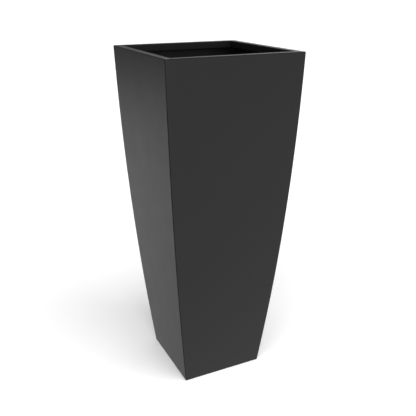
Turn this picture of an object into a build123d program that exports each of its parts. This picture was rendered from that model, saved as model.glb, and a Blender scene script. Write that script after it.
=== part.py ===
"""A tall tapered planter in folded and welded steel sheet, with a lift-out shelf."""

import os
from math import hypot, sqrt

from build123d import *

# Overall size in millimetres: x to the right, y to the back, z up, the floor at z = 0
height = 1000.0
top_width = 407.0
base_width = 259.0
side_bulge = 11.8  # how far each wall bows out from a straight line, foot to rim

# Wall sheet and its folds
sheet = 2.0
inner_bend = 0.5  # inside radius of every fold
lip_width = 22.0  # flat rim, turned in
return_depth = 20.0  # edge of the rim, turned down, measured from the rim's top
foot_flange = 25.0  # turned in on the floor

# Raised floor: an upturned tray that stands on the four foot flanges
tray_height = 25.0
tray_gap = 0.3  # between the tray's edges and the fold at the foot of the walls
tray_notch = 9.0  # square cut out of each corner so that the edges can fold
drain_radius = 10.0
drain_spacing = 140.0

# Lift-out shelf
shelf_sheet = 2.0
shelf_height = 500.0
shelf_edge = 25.0  # folded edge, measured from the shelf's top
shelf_gap = 4.0  # to the walls, and at least to the rim on the way out
shelf_notch = 8.0
shelf_hole_radius = 7.0
shelf_hole_spacing = 80.0
shelf_hole_rows = 3
finger_slot_length = 90.0
finger_slot_width = 30.0
finger_slot_inset = 34.0  # from the shelf's edge to the middle of the slot

# Cleats that carry the shelf, one in the middle of each wall
cleat_sheet = 3.0
cleat_length = 80.0
cleat_leg = 25.0
cleat_drop = 30.0
cleat_corner = 6.0
seat_gap = 0.3  # between the shelf's edges and the cleats

# Weld beads
weld_leg = 4.0
weld_crown = 0.5  # how far a bead's face bulges
corner_stitches = 8  # along each inside corner
corner_stitch_length = 70.0
stitch_length = 30.0
stitch_spacing = 120.0
rim_bead_width = 5.0
rim_bead_height = 1.5

# Values worked out from those sizes
edge_radius = inner_bend + sheet
top_half = top_width / 2
base_half = base_width / 2
mouth_half = top_half - lip_width
reach = 2 * top_half  # longer than any cut needs to be

# The circle that every wall follows, seen from the side
chord = hypot(height, top_half - base_half)
arc_radius = (chord**2 / 4 + side_bulge**2) / (2 * side_bulge)
arc_x = (top_half + base_half) / 2 - (arc_radius - side_bulge) * height / chord
arc_z = height / 2 + (arc_radius - side_bulge) * (top_half - base_half) / chord


def wall_half(z, depth=0.0):
    """Half the planter's width at height z, measured depth inside the outer face."""
    return arc_x + sqrt((arc_radius - depth) ** 2 - (z - arc_z) ** 2)


def wall_arc(low, high, depth=0.0):
    """The wall's line between two heights, depth inside the outer face."""
    middle = (low + high) / 2
    points = [(wall_half(z, depth), z) for z in (low, middle, high)]
    return ThreePointArc(*points)


def bowed_block(low, high, depth=0.0):
    """A block between two heights, its four bowed sides depth inside the outer faces."""
    with BuildSketch() as side_view:
        with BuildLine():
            right = wall_arc(low, high, depth)
            left = mirror(right, about=Plane.YZ)
            Line(right @ 0, left @ 0)
            Line(right @ 1, left @ 1)
        make_face()
    with BuildPart() as block:
        with BuildSketch(Plane.XZ):
            add(side_view.sketch)
        extrude(amount=reach, both=True)
        with BuildSketch(Plane.YZ):
            add(side_view.sketch)
        extrude(amount=reach, both=True, mode=Mode.INTERSECT)
    return block.part


# Outer form: a bowed block with a square mouth sunk in its top, and with every
# outside edge at the radius of the folds and of the ground corners
with BuildPart() as blank:
    add(bowed_block(0, height))
    fillet(blank.edges(), edge_radius)
    with BuildSketch(Plane.XY.offset(height)):
        Rectangle(2 * mouth_half, 2 * mouth_half)
    extrude(amount=-2 * return_depth, mode=Mode.SUBTRACT)
    rim = blank.faces().sort_by(Axis.Z)[-1]
    fillet(rim.inner_wires()[0].edges(), edge_radius)

# Quarter of the plan that belongs to the right-hand wall, out to the mitre planes
with BuildPart() as quarter:
    with BuildSketch(Plane.XY):
        with BuildLine():
            Polyline((0, 0), (reach, reach), (reach, -reach), close=True)
        make_face()
    extrude(amount=2 * height, both=True)

# Wall panel: one sheet with foot flange, bowed wall, lip and turned-down edge.
# It is what the outer form leaves around the hollow inside the folded sheet.
with BuildPart() as panel:
    add(blank.part)
    add(quarter.part, mode=Mode.INTERSECT)
    with BuildSketch(Plane.XZ):
        with BuildLine() as hollow:
            wall = wall_arc(sheet, height - sheet, sheet)
            lip = Line(wall @ 1, (mouth_half + sheet, height - sheet))
            drop = Line(lip @ 1, (mouth_half + sheet, height - return_depth))
            foot = Line(wall @ 0, (base_half - foot_flange, sheet))
            Polyline(foot @ 1, (base_half - foot_flange, -sheet), (-reach, -sheet),
                     (-reach, height - return_depth), drop @ 1)
            bends = [wall @ 0, wall @ 1, lip @ 1]
            fillet([v for v in hollow.vertices() if Vector(v) in bends], inner_bend)
        make_face()
    extrude(amount=reach, both=True, mode=Mode.SUBTRACT)

# Corner weld: a row of rounded beads up the inside corner, from the foot to the lip.
# The seam outside it is welded all the way up and ground to the corner's radius.
bead_low = sheet + inner_bend
bead_high = height - sheet - inner_bend
bead_pitch = (bead_high - bead_low - corner_stitch_length) / (corner_stitches - 1)
bead_gap = bead_pitch - corner_stitch_length
gap_heights = [bead_low + i * bead_pitch - bead_gap / 2 for i in range(1, corner_stitches)]
with BuildSketch() as bead_strip:
    with BuildLine():
        outer = wall_arc(bead_low, bead_high, sheet)
        inner = wall_arc(bead_low, bead_high, sheet + weld_leg)
        Line(outer @ 0, inner @ 0)
        Line(outer @ 1, inner @ 1)
    make_face()
with BuildPart() as corner_bead:
    with BuildSketch(Plane.XZ):
        add(bead_strip.sketch)
    extrude(amount=reach, both=True)
    with BuildSketch(Plane.YZ):
        add(bead_strip.sketch)
    extrude(amount=reach, both=True, mode=Mode.INTERSECT)
    crest = corner_bead.edges().group_by(SortBy.LENGTH)[-1].sort_by(Axis.X)[0]
    fillet(crest, 0.9 * weld_leg)
    with Locations([(0, 0, z) for z in gap_heights]):
        Box(2 * reach, 2 * reach, bead_gap, mode=Mode.SUBTRACT)

# Bead under the mitre of the lip, which is ground flush on top
bead_start = mouth_half + sheet + inner_bend
bead_end = wall_half(height - sheet, sheet) - weld_leg
diagonal = Plane(
    origin=(bead_start, bead_start, height - sheet), x_dir=(-1, 1, 0), z_dir=(1, 1, 0)
)
with BuildPart() as rim_bead:
    with BuildSketch(diagonal):
        with BuildLine():
            left, right = (-rim_bead_width / 2, 0), (rim_bead_width / 2, 0)
            ThreePointArc(left, (0, -rim_bead_height), right)
            Line(right, left)
        make_face()
    extrude(amount=sqrt(2) * (bead_end - bead_start))

# Base tray: one sheet with its four edges folded down, notched at the corners
tray_inset = sheet + inner_bend + tray_gap
tray_half = wall_half(tray_height, tray_inset)
with BuildPart() as tray_inside:
    add(bowed_block(0, tray_height - sheet, tray_inset + sheet))
    fillet(tray_inside.faces().sort_by(Axis.Z)[-1].edges(), inner_bend)
with BuildPart() as base_tray:
    add(bowed_block(sheet, tray_height, tray_inset))
    fillet(base_tray.faces().sort_by(Axis.Z)[-1].edges(), edge_radius)
    add(tray_inside.part, mode=Mode.SUBTRACT)
    with GridLocations(2 * tray_half, 2 * tray_half, 2, 2):
        Box(2 * tray_notch, 2 * tray_notch, 3 * tray_height, mode=Mode.SUBTRACT)
    with Locations((0, 0, tray_height)):
        Hole(drain_radius)
        with GridLocations(drain_spacing, drain_spacing, 2, 2):
            Hole(drain_radius)

# Stitch weld: one short bead between the tray's top and the wall
stitch_foot = wall_half(tray_height, sheet)
stitch_toe = tray_half - edge_radius - weld_leg / 2
stitch_top = tray_height + weld_leg
with BuildPart() as stitch:
    with BuildSketch(Plane.XZ):
        with BuildLine():
            face = SagittaArc((stitch_toe, tray_height), (wall_half(stitch_top, sheet), stitch_top),
                              weld_crown)
            Polyline(face @ 1, (stitch_foot, tray_height), face @ 0)
        make_face()
    extrude(amount=stitch_length / 2, both=True)

# Cleat: an angle folded to lie against the sloping wall with its seat level
seat_height = shelf_height - shelf_edge - seat_gap
cleat_foot = Vector(wall_half(seat_height - cleat_drop, sheet), seat_height - cleat_drop)
cleat_heel = Vector(wall_half(seat_height, sheet), seat_height)
with BuildPart() as cleat:
    with BuildSketch(Plane.XZ):
        with BuildLine() as angle:
            Line(cleat_foot, cleat_heel)
            Line(cleat_heel, cleat_heel - Vector(cleat_leg, 0))
            heel = [v for v in angle.vertices() if Vector(v) == cleat_heel]
            fillet(heel, inner_bend + cleat_sheet)
            offset(amount=cleat_sheet, side=Side.LEFT)
        make_face()
    extrude(amount=cleat_length / 2, both=True)
    tip = cleat.faces().sort_by(Axis.X)[0]
    fillet(tip.edges().filter_by(Axis.Z), cleat_corner)

# Bead along the cleat's lower edge
rise = (cleat_heel - cleat_foot).normalized()
cleat_toe = cleat_foot + Vector(-rise.Y, rise.X) * cleat_sheet
bead_bottom = seat_height - cleat_drop - weld_leg
with BuildPart() as cleat_bead:
    with BuildSketch(Plane.XZ):
        with BuildLine():
            face = SagittaArc((wall_half(bead_bottom, sheet), bead_bottom), cleat_toe, weld_crown)
            Polyline(face @ 1, cleat_foot, face @ 0)
        make_face()
    extrude(amount=cleat_length / 2 - cleat_sheet, both=True)

# Shelf: one sheet with its edges folded down, holes for water and slots for fingers.
# It is as wide as the walls leave it at its own height, and still passes the rim.
shelf_low = shelf_height - shelf_edge
shelf_half = min(wall_half(shelf_low, sheet), mouth_half) - shelf_gap
with BuildPart() as shelf:
    with BuildSketch(Plane.XY.offset(shelf_low)):
        Rectangle(2 * shelf_half, 2 * shelf_half)
    extrude(amount=shelf_edge)
    fillet(shelf.faces().sort_by(Axis.Z)[-1].edges(), inner_bend + shelf_sheet)
    offset(amount=-shelf_sheet, openings=shelf.faces().sort_by(Axis.Z)[0])
    with Locations((0, 0, shelf_height)):
        with GridLocations(2 * shelf_half, 2 * shelf_half, 2, 2):
            Box(2 * shelf_notch, 2 * shelf_notch, 3 * shelf_edge, mode=Mode.SUBTRACT)
        with GridLocations(shelf_hole_spacing, shelf_hole_spacing, shelf_hole_rows, shelf_hole_rows):
            Hole(shelf_hole_radius)
    with BuildSketch(Plane.XY.offset(shelf_height)):
        with GridLocations(2 * (shelf_half - finger_slot_inset), 0, 2, 1):
            SlotOverall(finger_slot_length, finger_slot_width, rotation=90)
    extrude(amount=-2 * shelf_sheet, mode=Mode.SUBTRACT)

# The four sides are alike, each turned a quarter from the one before
sides = {"right": 0, "back": 90, "left": 180, "front": 270}
corners = {"back_right": 0, "back_left": 90, "front_left": 180, "front_right": 270}

os.makedirs("parts", exist_ok=True)

for side, turn in sides.items():
    with BuildPart() as wall_panel:
        add(panel.part, rotation=(0, 0, turn))
    wall_panel.part.label = f"{side}_panel"
    export_step(wall_panel.part, f"parts/{side}_panel.step")

    with BuildPart() as shelf_cleat:
        add(cleat.part, rotation=(0, 0, turn))
    shelf_cleat.part.label = f"shelf_cleat_{side}"
    export_step(shelf_cleat.part, f"parts/shelf_cleat_{side}.step")

for corner, turn in corners.items():
    with BuildPart() as corner_weld:
        add(corner_bead.part, rotation=(0, 0, turn))
    corner_weld.part.label = f"corner_weld_{corner}"
    export_step(corner_weld.part, f"parts/corner_weld_{corner}.step")

with BuildPart() as rim_welds:
    for turn in corners.values():
        add(rim_bead.part, rotation=(0, 0, turn))
rim_welds.part.label = "rim_welds"
export_step(rim_welds.part, "parts/rim_welds.step")

with BuildPart() as tray_welds:
    for turn in sides.values():
        with PolarLocations(0, 1, start_angle=turn):
            with GridLocations(0, stitch_spacing, 1, 2):
                add(stitch.part)
tray_welds.part.label = "tray_welds"
export_step(tray_welds.part, "parts/tray_welds.step")

with BuildPart() as cleat_welds:
    for turn in sides.values():
        add(cleat_bead.part, rotation=(0, 0, turn))
cleat_welds.part.label = "cleat_welds"
export_step(cleat_welds.part, "parts/cleat_welds.step")

base_tray.part.label = "base_tray"
export_step(base_tray.part, "parts/base_tray.step")

shelf.part.label = "shelf"
export_step(shelf.part, "parts/shelf.step")
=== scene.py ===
from math import cos, hypot, pi, radians, sin, sqrt

import bmesh
import bpy
from mathutils import Matrix, Vector


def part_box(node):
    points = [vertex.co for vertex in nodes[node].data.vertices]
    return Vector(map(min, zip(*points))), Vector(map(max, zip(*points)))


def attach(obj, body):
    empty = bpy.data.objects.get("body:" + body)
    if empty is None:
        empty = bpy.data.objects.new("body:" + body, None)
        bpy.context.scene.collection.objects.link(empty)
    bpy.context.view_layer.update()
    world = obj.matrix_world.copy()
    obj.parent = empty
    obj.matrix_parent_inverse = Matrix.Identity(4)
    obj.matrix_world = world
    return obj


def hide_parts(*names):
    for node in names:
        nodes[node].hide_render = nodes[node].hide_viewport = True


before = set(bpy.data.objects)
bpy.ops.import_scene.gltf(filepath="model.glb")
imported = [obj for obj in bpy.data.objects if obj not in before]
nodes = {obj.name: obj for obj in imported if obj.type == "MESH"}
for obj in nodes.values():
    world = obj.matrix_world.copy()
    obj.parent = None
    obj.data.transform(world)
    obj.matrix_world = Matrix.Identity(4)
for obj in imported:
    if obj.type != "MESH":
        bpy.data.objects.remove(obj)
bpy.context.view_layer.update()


# The four walls are 2 mm mild steel sheet, rolled to a slight bow, with the rim and the foot folded.
# They are welded along the corners, ground flush and blasted. A black powder coat with a fine satin
# texture covers them. It draws thin over the ground corners and the rim's mitres, and is glossier there.
class Signal:
    """An output socket of a node tree. Arithmetic with other signals or numbers adds Math nodes."""

    def __init__(self, tree, socket=None):
        self.tree, self.socket = tree, socket

    def add_node(self, kind, settings=None, sockets=None, output=0):
        """A node of this type, with its settings made first, and then its sockets' values or links."""
        node = self.tree.nodes.new(kind)
        for name, value in (settings or {}).items():
            setattr(node, name, value)
        for name, value in (sockets or {}).items():
            if isinstance(value, Signal):
                self.tree.links.new(value.socket, node.inputs[name])
            else:
                node.inputs[name].default_value = value
        return Signal(self.tree, node.outputs[output])

    def math(self, operation, *values):
        return self.add_node("ShaderNodeMath", {"operation": operation}, dict(enumerate(values)))

    def blend(self, low, high):
        """The colour low where this signal is 0, and high where it is 1."""
        factor, first, second, colour = 0, 6, 7, 2
        sockets = {factor: self, first: low, second: high}
        return self.add_node("ShaderNodeMix", {"data_type": "RGBA"}, sockets, colour)

    def between(self, low, high):
        """A smooth step: 0 where this signal is below low, and 1 where it is above high."""
        settings = {"interpolation_type": "SMOOTHSTEP"}
        sockets = {"Value": self, "From Min": low, "From Max": high}
        return self.add_node("ShaderNodeMapRange", settings, sockets)

    def __add__(self, other):
        return self.math("ADD", self, other)

    def __sub__(self, other):
        return self.math("SUBTRACT", self, other)

    def __abs__(self):
        return self.math("ABSOLUTE", self)

    def __rsub__(self, other):
        return self.math("SUBTRACT", other, self)

    def __mul__(self, other):
        return self.math("MULTIPLY", self, other)

    __radd__, __rmul__ = __add__, __mul__


def grey(value):
    return (value, value, value, 1)


def noise(tree, place, size, detail=2):
    """Smooth noise from 0 to 1, about 0.5, whose patches are about this size in metres."""
    sockets = {"Vector": place, "Scale": 1 / size, "Detail": detail}
    return tree.add_node("ShaderNodeTexNoise", {}, sockets, "Fac")


def finish_material(name):
    """A new material: the tree to add nodes to, the place on the object, and its Principled shader."""
    material = bpy.data.materials.new(name)
    material.use_nodes = True
    tree = Signal(material.node_tree)
    place = tree.add_node("ShaderNodeTexCoord", output="Object")
    return material, tree, place, material.node_tree.nodes["Principled BSDF"]


def feed(shader, name, signal):
    signal.tree.links.new(signal.socket, shader.inputs[name])


coat_grey = 0.0045
coat_roughness = 0.42
cloud_size = 0.06
cloud_grey_spread = 0.1
cloud_roughness_spread = 0.03
coat_grain = 0.0007
coat_peel = 0.004
grain_share = 0.7
coat_relief = 0.0001
relief_strength = 0.12
seam_half, seam_fade = 0.00125, 0.003
seam_roughness = 0.2

powder_coat, tree, place, shader = finish_material("powder_coat")
across = {axis: tree.add_node("ShaderNodeSeparateXYZ", {}, {0: place}, axis) for axis in "XY"}
off_corner = abs(abs(across["X"]) - abs(across["Y"]))
seam = 1 - off_corner.between(seam_half, seam_fade)
cloudiness = noise(tree, place, cloud_size)
low, high = coat_grey * (1 - cloud_grey_spread), coat_grey * (1 + cloud_grey_spread)
feed(shader, "Base Color", cloudiness.blend(grey(low), grey(high)))
flat_roughness = coat_roughness - cloud_roughness_spread + 2 * cloud_roughness_spread * cloudiness
feed(shader, "Roughness", flat_roughness - (coat_roughness - seam_roughness) * seam)
grain = noise(tree, place, coat_grain, 3)
relief = grain * grain_share + noise(tree, place, coat_peel) * (1 - grain_share)
bumps = {"Strength": relief_strength, "Distance": coat_relief, "Height": relief}
feed(shader, "Normal", tree.add_node("ShaderNodeBump", {}, bumps))
shader.inputs["IOR"].default_value = 1.5
shader.inputs["Specular IOR Level"].default_value = 0.35


def coat(piece, material):
    """Gives the piece this finish alone."""
    piece.data.materials.clear()
    piece.data.materials.append(material)


sides = ("front", "right", "back", "left")
for side in sides:
    coat(nodes[side + "_panel"], powder_coat)


# The corner welds are fillet beads up each inside corner, laid in stitches by hand before the coat.
# The arc freezes in ripples about 2 mm apart, whose crests sag a little towards where it started.
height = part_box("front_panel")[1][2]
top_half = 0.2035
base_half = 0.1295
side_bulge = 0.0118
sheet = 0.002
weld_leg = 0.004
corner_crown = 0.0013
corner_stitches = 8
corner_stitch_length = 0.07
ripple_pitch = 0.002
trough_share = 0.72
crest_sag = 0.9
end_share = 0.12
profile_steps = 6

chord = hypot(height, top_half - base_half)
arc_radius = (chord**2 / 4 + side_bulge**2) / (2 * side_bulge)
arc_x = (top_half + base_half) / 2 - (arc_radius - side_bulge) * height / chord
arc_z = height / 2 + (arc_radius - side_bulge) * (top_half - base_half) / chord


def inner_half(z):
    """Half the planter's width inside the walls at height z."""
    return arc_x + sqrt((arc_radius - sheet) ** 2 - (z - arc_z) ** 2)


def bead_rings(root, leg_a, leg_b, length, crown):
    """Rings of points of a rippled fillet bead that narrows at its ends.

    root(s) is the line that its legs meet on, s from 0 to 1. The legs are vectors along the two sheets.
    """
    steps = 2 * round(length / ripple_pitch)
    outward = (leg_a + leg_b).normalized()
    rings = []
    for step in range(steps + 1):
        ripple = trough_share if step % 2 else 1.0
        from_end = min(step, steps - step) * length / steps
        size = sqrt(min(1, end_share + from_end / leg_a.length))
        start = root(step / steps)
        ring = [start]
        for i in range(profile_steps + 1):
            t = i / profile_steps
            bulge = 4 * t * (1 - t)
            point = leg_a * (1 - t) + leg_b * t + outward * crown * bulge * ripple
            sag = root(max(0, step - crest_sag * bulge) / steps) - start
            ring.append(start + size * point + sag)
        rings.append(ring)
    return rings


def add_beads(name, beads, replaced):
    """Makes one piece of closed beads, each given by its rings, in place of this CAD node."""
    mesh = bmesh.new()
    for rings in beads:
        rows = [[mesh.verts.new(point) for point in ring] for ring in rings]
        count = len(rows[0])
        for low, high in zip(rows, rows[1:]):
            for i in range(count):
                j = (i + 1) % count
                face = mesh.faces.new((low[i], low[j], high[j], high[i]))
                face.smooth = 0 < i < count - 1
        mesh.faces.new(rows[0][::-1])
        mesh.faces.new(rows[-1])
    bmesh.ops.recalc_face_normals(mesh, faces=mesh.faces)
    data = bpy.data.meshes.new(name)
    mesh.to_mesh(data)
    mesh.free()
    piece = bpy.data.objects.new(name, data)
    bpy.context.scene.collection.objects.link(piece)
    coat(piece, powder_coat)
    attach(piece, "shell")
    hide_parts(replaced)


weld_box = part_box("corner_weld_front_left")
bead_low, bead_high = weld_box[0][2], weld_box[1][2]
bead_pitch = (bead_high - bead_low - corner_stitch_length) / (corner_stitches - 1)
corners = {"front_left": (-1, -1), "front_right": (1, -1), "back_right": (1, 1), "back_left": (-1, 1)}
for corner, (x, y) in corners.items():
    stitches = []
    for i in range(corner_stitches):
        start = bead_low + i * bead_pitch

        def corner_line(s):
            z = start + s * corner_stitch_length
            return Vector((x * inner_half(z), y * inner_half(z), z))

        legs = Vector((-x * weld_leg, 0, 0)), Vector((0, -y * weld_leg, 0))
        stitches.append(bead_rings(corner_line, *legs, corner_stitch_length, corner_crown))
    add_beads(f"corner_beads_{corner}", stitches, f"corner_weld_{corner}")


# Each mitre of the rim is welded through: ground flush on top, with the root run left under the lip.
# It takes the same coat.
coat(nodes["rim_welds"], powder_coat)


# The raised floor is one tray of the same sheet, notched at its corners, with its edges folded down.
# It stands on the foot flanges, held by two stitches along each wall, and takes the same coat.
tray_height = 0.025
stitch_length = 0.03
stitch_spacing = 0.12
stitch_reach = 0.0053
tray_crown = 0.0005
coat(nodes["base_tray"], powder_coat)

stitches = []
for turn in range(4):
    spin = Matrix.Rotation(turn * pi / 2, 3, "Z")
    for shift in (-stitch_spacing / 2, stitch_spacing / 2):

        def tray_line(s):
            y = shift + (s - 0.5) * stitch_length
            return spin @ Vector((inner_half(tray_height), y, tray_height))

        legs = spin @ Vector((0, 0, weld_leg)), spin @ Vector((-stitch_reach, 0, 0))
        stitches.append(bead_rings(tray_line, *legs, stitch_length, tray_crown))
add_beads("tray_beads", stitches, "tray_welds")


# Four cleats of 3 mm sheet carry the shelf, one on the middle of each wall. Each is an angle with
# rounded tips, welded along its lower edge before the coat, so it has the same finish as the walls.
cleat_sheet = 0.003
cleat_length = 0.08
cleat_crown = 0.0005
for side in sides:
    coat(nodes["shelf_cleat_" + side], powder_coat)

cleat_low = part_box("shelf_cleat_right")[0][2]
lean = Vector((inner_half(cleat_low) - inner_half(cleat_low - weld_leg), 0, weld_leg)).normalized()
bead_length = cleat_length - 2 * cleat_sheet
beads = []
for turn in range(4):
    spin = Matrix.Rotation(turn * pi / 2, 3, "Z")

    def cleat_line(s):
        return spin @ Vector((inner_half(cleat_low), (s - 0.5) * bead_length, cleat_low))

    legs = spin @ (-weld_leg * lean), spin @ Vector((-cleat_sheet * lean.z, 0, cleat_sheet * lean.x))
    beads.append(bead_rings(cleat_line, *legs, bead_length, cleat_crown))
add_beads("cleat_beads", beads, "cleat_welds")


# The shelf is a lift-out false floor of 2 mm galvanised sheet, folded down at its edges and punched.
# The zinc froze in crystals about 9 mm across, each with its own grey and sheen, and has dulled a little.
spangle_size = 0.009
mottle_size = 0.0045
fleck_size = 0.0016
dulling_size = 0.09
crystal_share, fleck_share, mottle_share, dulling_share = 0.55, 0.2, 0.1, 0.15
zinc_low, zinc_high = 0.42, 0.6
low_blue, high_blue = 1.03, 1.02
zinc_roughness = 0.38
dulled_roughness = 0.14
crystal_sheen = 0.1
fleck_height = 0.5
zinc_relief = 0.00005
zinc_relief_strength = 0.2

galvanised, tree, place, shader = finish_material("galvanised_sheet")
mottle = noise(tree, place, mottle_size)
crystals = {"Vector": place, "Scale": 1 / spangle_size, "Randomness": 1.0}
tint = tree.add_node("ShaderNodeTexVoronoi", {"feature": "F1"}, crystals, "Color")
crystal = tree.add_node("ShaderNodeSeparateColor", {}, {0: tint}, "Red")
flecks = noise(tree, place, fleck_size, 3)
dulling = noise(tree, place, dulling_size, 3)
shade = crystal * crystal_share + flecks * fleck_share + mottle * mottle_share + dulling * dulling_share
low = (zinc_low, zinc_low, low_blue * zinc_low, 1)
high = (zinc_high, zinc_high, high_blue * zinc_high, 1)
feed(shader, "Base Color", shade.blend(low, high))
feed(shader, "Roughness", zinc_roughness + dulled_roughness * dulling - crystal_sheen * crystal)
relief = crystal + flecks * fleck_height
bumps = {"Strength": zinc_relief_strength, "Distance": zinc_relief, "Height": relief}
feed(shader, "Normal", tree.add_node("ShaderNodeBump", {}, bumps))
shader.inputs["Metallic"].default_value = 1
coat(nodes["shelf"], galvanised)


# The floor is a wide sheet of white paper, so pale that only the planter's soft shadow shows on it.
# Mirrored rays pass through it to the surround below, as in a studio with a lit table.
floor_half = 80.0
floor_white = 0.8
camera_white = 0.95

floor_mesh = bpy.data.meshes.new("floor")
floor_corners = [(x * floor_half, y * floor_half, 0) for x, y in ((-1, -1), (1, -1), (1, 1), (-1, 1))]
floor_mesh.from_pydata(floor_corners, [], [(0, 1, 2, 3)])
floor = bpy.data.objects.new("floor", floor_mesh)
bpy.context.scene.collection.objects.link(floor)
floor.visible_glossy = False
floor.visible_transmission = False

paper = bpy.data.materials.new("white_paper")
paper.use_nodes = True
tree = Signal(paper.node_tree)
looked_at = tree.add_node("ShaderNodeLightPath", output="Is Camera Ray")
tone = looked_at.blend(grey(floor_white), grey(camera_white))
matt = tree.add_node("ShaderNodeBsdfDiffuse", {}, {"Color": tone})
paper.node_tree.links.new(matt.socket, paper.node_tree.nodes["Material Output"].inputs["Surface"])
floor_mesh.materials.append(paper)


# The surround lights the planter evenly and is white to the camera. What the coat mirrors is a white
# table, darker at the front left, low at the back left, a bright wall at the right, a dim one at the
# back and a white screen at the front. Ways are in degrees: 0 is the front and 90 the right.
ambient = 0.43
above = 0.12
above_edge = (0.0, 0.3)
table_edge = (-0.07, 0.1)
front_left_way, front_left_edge = 296, (0.5, 0.95)
back_left_way, back_left_edge = 204, (0.0, 0.7)
horizon_drop = 0.18
deep_share, deep_edge = 0.4, (-0.75, -0.3)
wall_foot, wall_top = (-0.1, 0.1), (0.2, 0.6)
back_wall, back_way, back_edge = 0.36, 143, (0.2, 0.95)
right_wall, right_way, right_edge = 1.6, 107, (0.5, 1.0)
screen_white, screen_edge = 0.8, (0.55, 0.75)
screen_way, screen_climb = -15, 35

world = bpy.data.worlds.new("studio")
world.use_nodes = True
bpy.context.scene.world = world
tree = Signal(world.node_tree)
backdrop = world.node_tree.nodes["Background"]
kinds = ("Camera", "Glossy", "Transmission")
paths = {kind: tree.add_node("ShaderNodeLightPath", output=f"Is {kind} Ray") for kind in kinds}
direction = tree.add_node("ShaderNodeTexCoord", output="Generated")
rise = tree.add_node("ShaderNodeSeparateXYZ", {}, {0: direction}, "Z")
flat = {0: direction, 1: (1, 1, 0)}
level = tree.add_node("ShaderNodeVectorMath", {"operation": "MULTIPLY"}, flat, "Vector")
heading = tree.add_node("ShaderNodeVectorMath", {"operation": "NORMALIZE"}, {0: level}, "Vector")


def aim(way, climb=0):
    """The direction this many degrees round from the front, and this many above level."""
    turn, tilt = radians(way), radians(climb)
    return (sin(turn) * cos(tilt), -cos(turn) * cos(tilt), sin(tilt))


def facing(vector, *way):
    """How nearly this vector points that way: 1 is straight there."""
    both = {0: vector, 1: aim(*way)}
    return tree.add_node("ShaderNodeVectorMath", {"operation": "DOT_PRODUCT"}, both, "Value")


back_left = facing(heading, back_left_way).between(*back_left_edge)
front_left = facing(heading, front_left_way).between(*front_left_edge)
deep = back_left * (1 - rise.between(*deep_edge))
table = 1 - (rise + horizon_drop * back_left).between(*table_edge)
table = table * (1 - front_left) * (1 - deep_share * deep)
back = back_wall * facing(heading, back_way).between(*back_edge)
right = right_wall * facing(heading, right_way).between(*right_edge)
walls = (1 - rise.between(*wall_top)) * rise.between(*wall_foot) * (back + right)
screen = screen_white * facing(direction, screen_way, screen_climb).between(*screen_edge)
mirrored = table + walls + screen + above * rise.between(*above_edge)
white = {0: (1, 1, 1), "Scale": mirrored}
surround = tree.add_node("ShaderNodeVectorMath", {"operation": "SCALE"}, white, "Vector")
glossy = paths["Glossy"] + paths["Transmission"]
lit = glossy.blend(grey(ambient), surround)
feed(backdrop, "Color", paths["Camera"].blend(lit, grey(1)))


# One very broad lamp at the front gives the planter its own light and its soft shadow. The mirrored
# surround already holds its screen, so the lamp itself isn't mirrored.
key_power = 4.5
key_breadth = 100
key_way, key_climb = -7, 35

key = bpy.data.objects.new("key", bpy.data.lights.new("key", "SUN"))
key.data.energy = key_power
key.data.angle = radians(key_breadth)
key.visible_glossy = False
key.rotation_mode = "QUATERNION"
key.rotation_quaternion = Vector(aim(key_way, key_climb)).to_track_quat("Z", "Y")
bpy.context.scene.collection.objects.link(key)


# The camera has a 50 mm lens and a 36 mm sensor. It stands where the corners and edges of the planter
# in the photograph put it, and looks a little down.
camera_place = (-0.7302, -1.5155, 1.1595)
camera_down = 20.886
camera_right = 26.056

camera = bpy.data.objects.new("camera", bpy.data.cameras.new("camera"))
camera.data.lens = 50
camera.data.sensor_width = 36
camera.data.clip_end = 200
camera.location = camera_place
camera.rotation_euler = (radians(90 - camera_down), 0, radians(-camera_right))
bpy.context.scene.collection.objects.link(camera)
bpy.context.scene.camera = camera
bpy.context.scene.view_settings.view_transform = "Standard"
